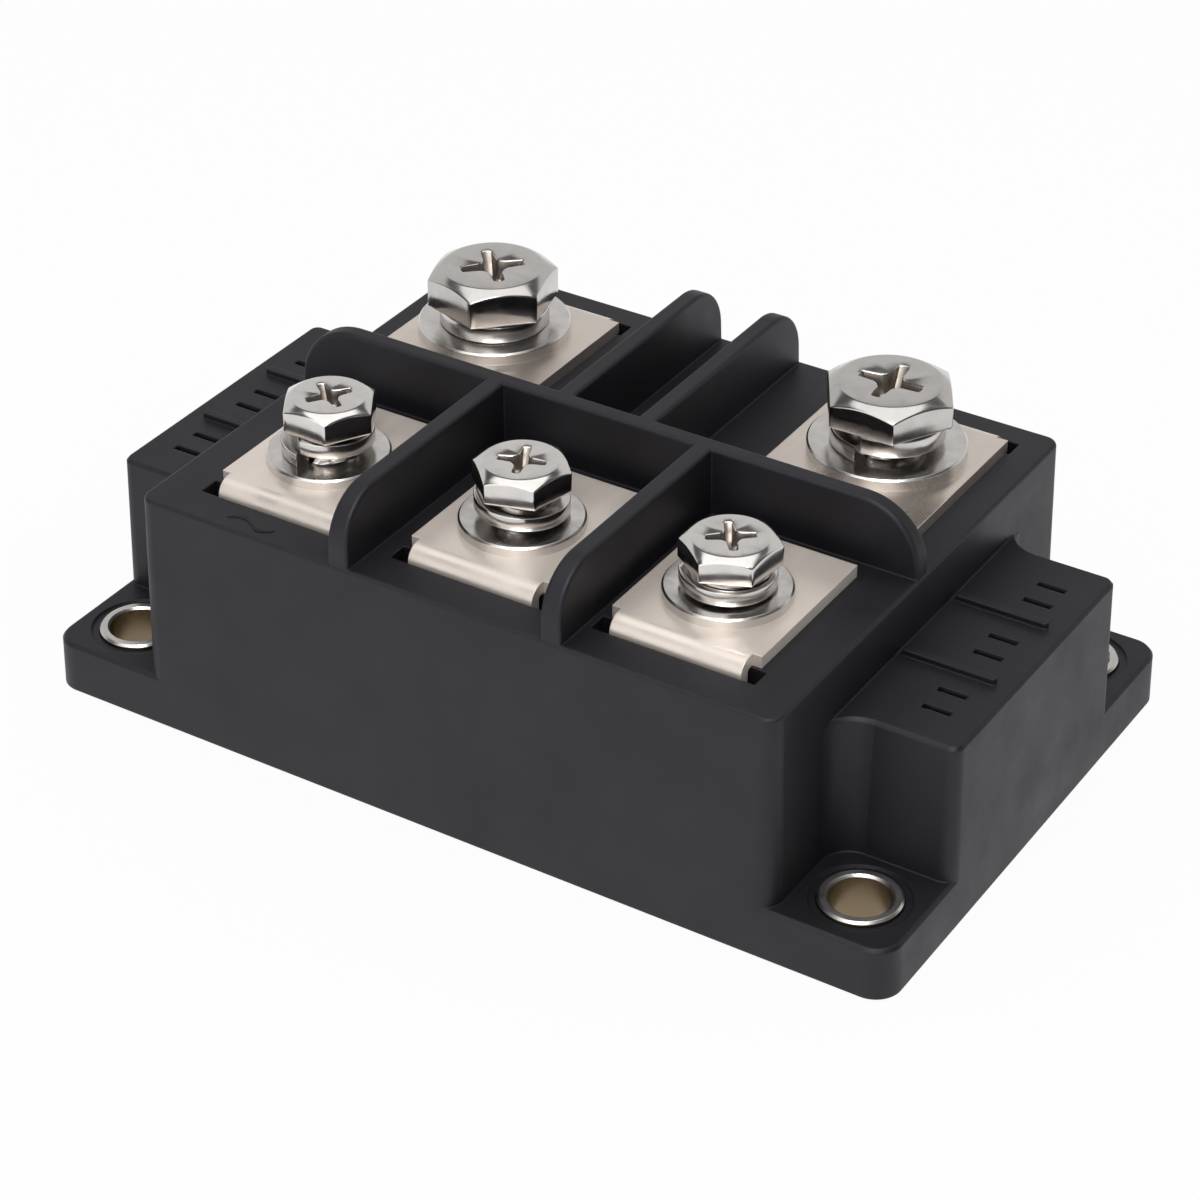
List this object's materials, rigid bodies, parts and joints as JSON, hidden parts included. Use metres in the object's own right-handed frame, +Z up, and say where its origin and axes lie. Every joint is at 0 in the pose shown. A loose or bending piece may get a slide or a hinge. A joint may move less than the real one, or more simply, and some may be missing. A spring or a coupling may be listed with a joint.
{
  "type": "three-phase bridge rectifier module",
  "caption": "Black moulded power block with screw terminals in walled bays, gate slots in its end towers, bushed corner mounting holes and a metal cooling plate.",
  "frame": {"origin": "centre of the cooling face, on the plane that meets the heatsink", "axes": "+X along the long side, AC terminals towards -Y, DC terminals towards +Y, +Z up out of the heatsink"},
  "size_m": [0.105, 0.064, 0.0386],
  "materials": {
    "housing": "moulded satin, fine grain",
    "baseplate": "nickel plated copper, lapped",
    "bushing": "nickel plated brass",
    "terminal": "nickel plated sheet, satin",
    "screw": "bright nickel plate",
    "washer": "bright nickel plate",
    "nut": "zinc plated",
    "gate_contact": "tinned brass",
    "substrate": "alumina with copper tracks",
    "chip": "silicon",
    "copper": "bare copper",
    "gel": "soft silicone"
  },
  "bodies": {
    "root": {"ac_1_bolt": "screw", "ac_1_nut": "nut", "ac_1_spring_washer": "washer", "ac_1_washer": "washer", "ac_2_bolt": "screw", "ac_2_nut": "nut", "ac_2_spring_washer": "washer", "ac_2_washer": "washer", "ac_3_bolt": "screw", "ac_3_nut": "nut", "ac_3_spring_washer": "washer", "ac_3_washer": "washer", "ac_terminal_1": "terminal", "ac_terminal_2": "terminal", "ac_terminal_3": "terminal", "baseplate": "baseplate", "busbar_minus": "copper", "busbar_plus": "copper", "chip_1_lower": "chip", "chip_1_upper": "chip", "chip_2_lower": "chip", "chip_2_upper": "chip", "chip_3_lower": "chip", "chip_3_upper": "chip", "dc_left_bolt": "screw", "dc_left_nut": "nut", "dc_left_spring_washer": "washer", "dc_left_washer": "washer", "dc_right_bolt": "screw", "dc_right_nut": "nut", "dc_right_spring_washer": "washer", "dc_right_washer": "washer", "dc_terminal_left": "terminal", "dc_terminal_right": "terminal", "gate_contacts_left_1": "gate_contact", "gate_contacts_left_2": "gate_contact", "gate_contacts_left_3": "gate_contact", "gate_contacts_right_1": "gate_contact", "gate_contacts_right_2": "gate_contact", "gate_contacts_right_3": "gate_contact", "housing": "housing", "mounting_bushing_front_left": "bushing", "mounting_bushing_front_right": "bushing", "mounting_bushing_rear_left": "bushing", "mounting_bushing_rear_right": "bushing", "silicone_gel": "gel", "strap_1_lower": "copper", "strap_1_upper": "copper", "strap_2_lower": "copper", "strap_2_upper": "copper", "strap_3_lower": "copper", "strap_3_upper": "copper", "substrate_1": "substrate", "substrate_2": "substrate", "substrate_3": "substrate"}
  },
  "joints": []
}
